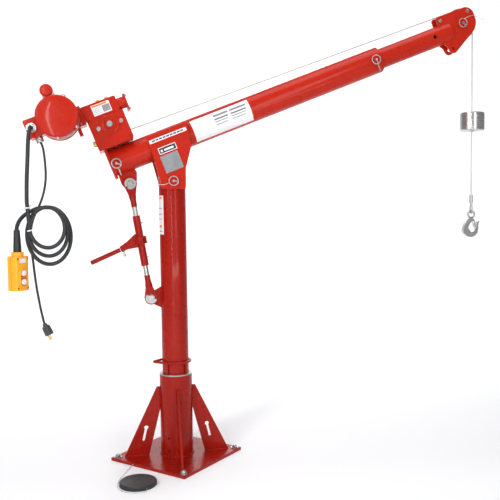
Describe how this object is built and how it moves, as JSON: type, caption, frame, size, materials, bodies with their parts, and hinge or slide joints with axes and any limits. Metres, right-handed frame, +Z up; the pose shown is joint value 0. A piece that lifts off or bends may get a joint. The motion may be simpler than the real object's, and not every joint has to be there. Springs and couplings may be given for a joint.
{
  "type": "davit crane",
  "caption": "Floor-mounted davit crane: turning mast, screw-jack luffing telescopic boom, worm-gear wire rope winch with motor, tension weight, hook and wired handset.",
  "frame": {"origin": "centre of the anchor bolt circle on the underside of the base plate", "axes": "+X towards the boom's head, -Y towards the motor and handset side, +Z up"},
  "size_m": [2.0911, 0.663, 1.9728],
  "materials": {
    "base_paint": "dark red gloss paint",
    "boom_paint": "bright red gloss paint",
    "zinc_steel": "zinc plated",
    "bearing_steel": "machined grey steel",
    "wire_rope": "galvanised wire rope",
    "polished_steel": "polished",
    "bronze": "cast bronze",
    "black_rubber": "matte black rubber",
    "plug_plastic": "dark grey moulded plastic",
    "handset_plastic": "yellow-orange moulded plastic",
    "button_plastic": "white plastic"
  },
  "bodies": {
    "base": {"base_plate": "base_paint", "socket_tube": "base_paint", "base_gussets": "base_paint", "socket_bearings": "bearing_steel", "socket_cap": "black_rubber", "cap_tether": "wire_rope"},
    "mast": {"mast_tube": "base_paint", "mast_lug": "base_paint", "turning_handle": "base_paint"},
    "jack_lower": {"jack_lower_fork": "base_paint", "jack_lower_pin": "zinc_steel"},
    "barrel": {"jack_barrel": "base_paint"},
    "jack_upper": {"jack_upper_fork": "base_paint", "jack_upper_pin": "zinc_steel"},
    "ratchet": {"ratchet_body": "base_paint", "ratchet_handle": "base_paint"},
    "pawl": {"ratchet_pawl": "zinc_steel"},
    "boom": {"boom_tube": "boom_paint", "boom_bushing": "bronze", "side_plates": "boom_paint", "tail_lug": "boom_paint", "pivot_pin": "zinc_steel", "boom_lanyards": "wire_rope", "winch_mount": "boom_paint", "bearing_plate": "boom_paint", "gearbox_housing": "boom_paint", "gearbox_cover": "boom_paint", "worm_housing": "boom_paint", "worm_end_cap": "boom_paint", "gearhead": "boom_paint", "motor_housing": "boom_paint", "motor_cover": "boom_paint", "motor_rotor": "bearing_steel", "capacitor_case": "boom_paint", "junction_box": "boom_paint", "cable_glands": "zinc_steel"},
    "inner_boom": {"inner_tube": "boom_paint", "head_plates": "boom_paint", "sheave_pin": "zinc_steel", "head_lanyard": "wire_rope", "rope_run": "wire_rope"},
    "sheave": {"sheave": "bearing_steel"},
    "extension_pin": {"extension_pin": "zinc_steel"},
    "winch_pin": {"winch_pin": "zinc_steel"},
    "drum": {"drum": "bearing_steel", "rope_on_drum": "wire_rope", "worm_wheel": "bronze"},
    "worm": {"worm_shaft": "zinc_steel"},
    "rope_hang": {"rope_fall": "wire_rope"},
    "hook_block": {"tension_weight": "polished_steel", "rope_thimble": "zinc_steel"},
    "hook": {"hook": "zinc_steel"},
    "latch": {"hook_latch": "zinc_steel"},
    "pendant": {"pendant_cable": "black_rubber", "pendant_boot": "black_rubber", "pendant_shell": "handset_plastic", "power_cord": "black_rubber", "power_plug": "plug_plastic"},
    "button_up": {"button_up": "button_plastic"},
    "button_down": {"button_down": "button_plastic"}
  },
  "joints": [
    {"name": "mast_turn", "type": "hinge", "parent": "base", "child": "mast", "pos_m": [0, 0, 0], "axis": [0, 0, 1], "continuous": true},
    {"name": "boom_luff", "type": "hinge", "parent": "mast", "child": "boom", "pos_m": [0, 0, 1.1895], "axis": [0, -1, 0], "range_deg": [-21.36, 23.64]},
    {"name": "jack_swing", "type": "hinge", "parent": "mast", "child": "jack_lower", "pos_m": [-0.099, 0, 0.6952], "axis": [0, -1, 0], "range_deg": [-0.6, 0.6]},
    {"name": "barrel_slide", "type": "slide", "parent": "jack_lower", "child": "barrel", "axis": [-0.1571, 0, 0.9876], "range_m": [-0.036, 0.0325]},
    {"name": "screw_slide", "type": "slide", "parent": "barrel", "child": "jack_upper", "axis": [-0.1571, 0, 0.9876], "range_m": [-0.036, 0.0325]},
    {"name": "ratchet_turn", "type": "hinge", "parent": "barrel", "child": "ratchet", "pos_m": [-0.099, 0, 0.6952], "axis": [-0.1571, 0, 0.9876], "range_deg": [-120, 120]},
    {"name": "pawl_pull", "type": "slide", "parent": "ratchet", "child": "pawl", "axis": [0.1571, 0, -0.9876], "range_m": [0, 0.008], "stiffness_N_per_m": 300, "springref_m": -0.01},
    {"name": "boom_extend", "type": "slide", "parent": "boom", "child": "inner_boom", "axis": [0.9313, 0, 0.3642], "range_m": [-0.312, 0.312], "deforming": ["rope_run"]},
    {"name": "sheave_spin", "type": "hinge", "parent": "inner_boom", "child": "sheave", "pos_m": [1.32836, 0, 1.89898], "axis": [0, 1, 0], "range_deg": [-225, 340]},
    {"name": "rope_swing", "type": "hinge", "parent": "inner_boom", "child": "rope_hang", "pos_m": [1.32836, 0, 1.89898], "axis": [0, -1, 0], "range_deg": [-24, 22]},
    {"name": "hook_hoist", "type": "slide", "parent": "rope_hang", "child": "hook_block", "axis": [0, 0, 1], "range_m": [-0.38, 0.25], "deforming": ["rope_fall"]},
    {"name": "hook_swing", "type": "hinge", "parent": "hook_block", "child": "hook", "pos_m": [1.394, 0, 1.0355], "axis": [0, 1, 0], "range_deg": [-40, 40]},
    {"name": "latch_open", "type": "hinge", "parent": "hook", "child": "latch", "pos_m": [1.402, 0, 1.003], "axis": [0, 1, 0], "range_deg": [0, 35], "stiffness_Nm_per_rad": 0.05, "springref_deg": -28.65},
    {"name": "drum_spin", "type": "hinge", "parent": "boom", "child": "drum", "pos_m": [-0.25585, 0, 1.41954], "axis": [0, 1, 0], "range_deg": [-540, 360]},
    {"name": "worm_spin", "type": "hinge", "parent": "boom", "child": "worm", "pos_m": [-0.32199, -0.064, 1.46239], "axis": [0.9313, 0, 0.3642], "range_deg": [-8000, 5300]},
    {"name": "extension_pin_pull", "type": "slide", "parent": "boom", "child": "extension_pin", "axis": [0, -1, 0], "range_m": [0, 0.06]},
    {"name": "winch_pin_pull", "type": "slide", "parent": "boom", "child": "winch_pin", "axis": [0, -1, 0], "range_m": [0, 0.06]},
    {"name": "pendant_swing", "type": "hinge", "parent": "boom", "child": "pendant", "pos_m": [-0.5469, 0, 1.3841], "axis": [0, -1, 0], "range_deg": [-24, 22], "deforming": ["power_cord"]},
    {"name": "button_up_press", "type": "slide", "parent": "pendant", "child": "button_up", "axis": [-0.7431, 0.6691, 0], "range_m": [0, 0.004], "stiffness_N_per_m": 400, "springref_m": -0.002},
    {"name": "button_down_press", "type": "slide", "parent": "pendant", "child": "button_down", "axis": [-0.7431, 0.6691, 0], "range_m": [0, 0.004], "stiffness_N_per_m": 400, "springref_m": -0.002}
  ],
  "couplings": [
    {"joint": "jack_swing", "follows": "boom_luff", "ratio": 0.02366},
    {"joint": "barrel_slide", "follows": "boom_luff", "m_per_rad": -0.08666},
    {"joint": "screw_slide", "follows": "boom_luff", "m_per_rad": -0.08666},
    {"joint": "rope_swing", "follows": "boom_luff", "ratio": -1},
    {"joint": "pendant_swing", "follows": "boom_luff", "ratio": -1},
    {"joint": "sheave_spin", "follows": "hook_hoist", "rad_per_m": -15.267},
    {"joint": "drum_spin", "follows": "hook_hoist", "rad_per_m": 24.39},
    {"joint": "worm_spin", "follows": "hook_hoist", "rad_per_m": 365.85}
  ]
}
